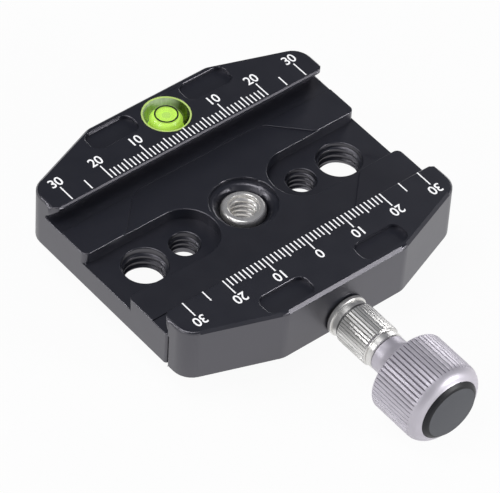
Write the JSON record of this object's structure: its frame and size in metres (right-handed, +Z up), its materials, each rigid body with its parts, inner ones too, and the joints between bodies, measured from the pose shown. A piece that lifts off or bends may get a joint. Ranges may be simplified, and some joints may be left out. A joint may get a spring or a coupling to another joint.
{
  "type": "quick release clamp",
  "caption": "Camera quick release clamp: dovetail channel with a sliding jaw closed by a ribbed knob on a screw, round spirit level, tripod threads.",
  "frame": {"origin": "bottom plane of the clamp body, on the axis of the central threaded hole", "axes": "+X along the dovetail channel, +Y from the knob to the fixed jaw with the level, +Z up out of the channel"},
  "size_m": [0.0694, 0.0962, 0.0187],
  "materials": {
    "black_anodised": "fine bead-blasted black anodising",
    "turned_steel": "bright turned stainless steel",
    "bushing_steel": "bright turned stainless steel",
    "pin_steel": "ground steel",
    "spring_steel": "plain steel",
    "black_steel": "black oxide steel",
    "dark_washer": "dark low-friction plastic",
    "knob_anodised": "satin grey anodising with a faint violet cast",
    "cap_plastic": "dark grey satin",
    "level_clear": "clear moulded plastic",
    "level_liquid": "lime liquid",
    "level_backing": "pale lime backing",
    "level_air": "air bubble in the liquid",
    "level_print": "printed ring"
  },
  "bodies": {
    "base": {"base": "black_anodised", "reducer_bushing": "bushing_steel", "stop_screw_left": "black_steel", "stop_screw_right": "black_steel", "level_cup": "level_clear", "level_disc": "level_backing", "level_vial": "level_clear", "level_fluid": "level_liquid", "level_bubble": "level_air", "level_ring": "level_print"},
    "jaw": {"moving_jaw": "black_anodised", "guide_pin_left": "pin_steel", "guide_pin_right": "pin_steel", "return_spring_left": "spring_steel", "return_spring_right": "spring_steel", "thrust_washer": "dark_washer"},
    "screw": {"clamp_screw": "turned_steel", "retaining_clip": "spring_steel", "knob": "knob_anodised", "knob_cap": "cap_plastic", "knob_screw": "spring_steel"}
  },
  "joints": [
    {"name": "jaw_slide", "type": "slide", "parent": "base", "child": "jaw", "axis": [0, -1, 0], "range_m": [0, 0.0065], "deforming": ["return_spring_left", "return_spring_right"]},
    {"name": "knob_turn", "type": "hinge", "parent": "jaw", "child": "screw", "pos_m": [0, -0.0322, 0.0036], "axis": [0, -1, 0], "range_deg": [0, 2925]}
  ],
  "couplings": [
    {"joint": "knob_turn", "follows": "jaw_slide", "rad_per_m": 7853.9}
  ]
}
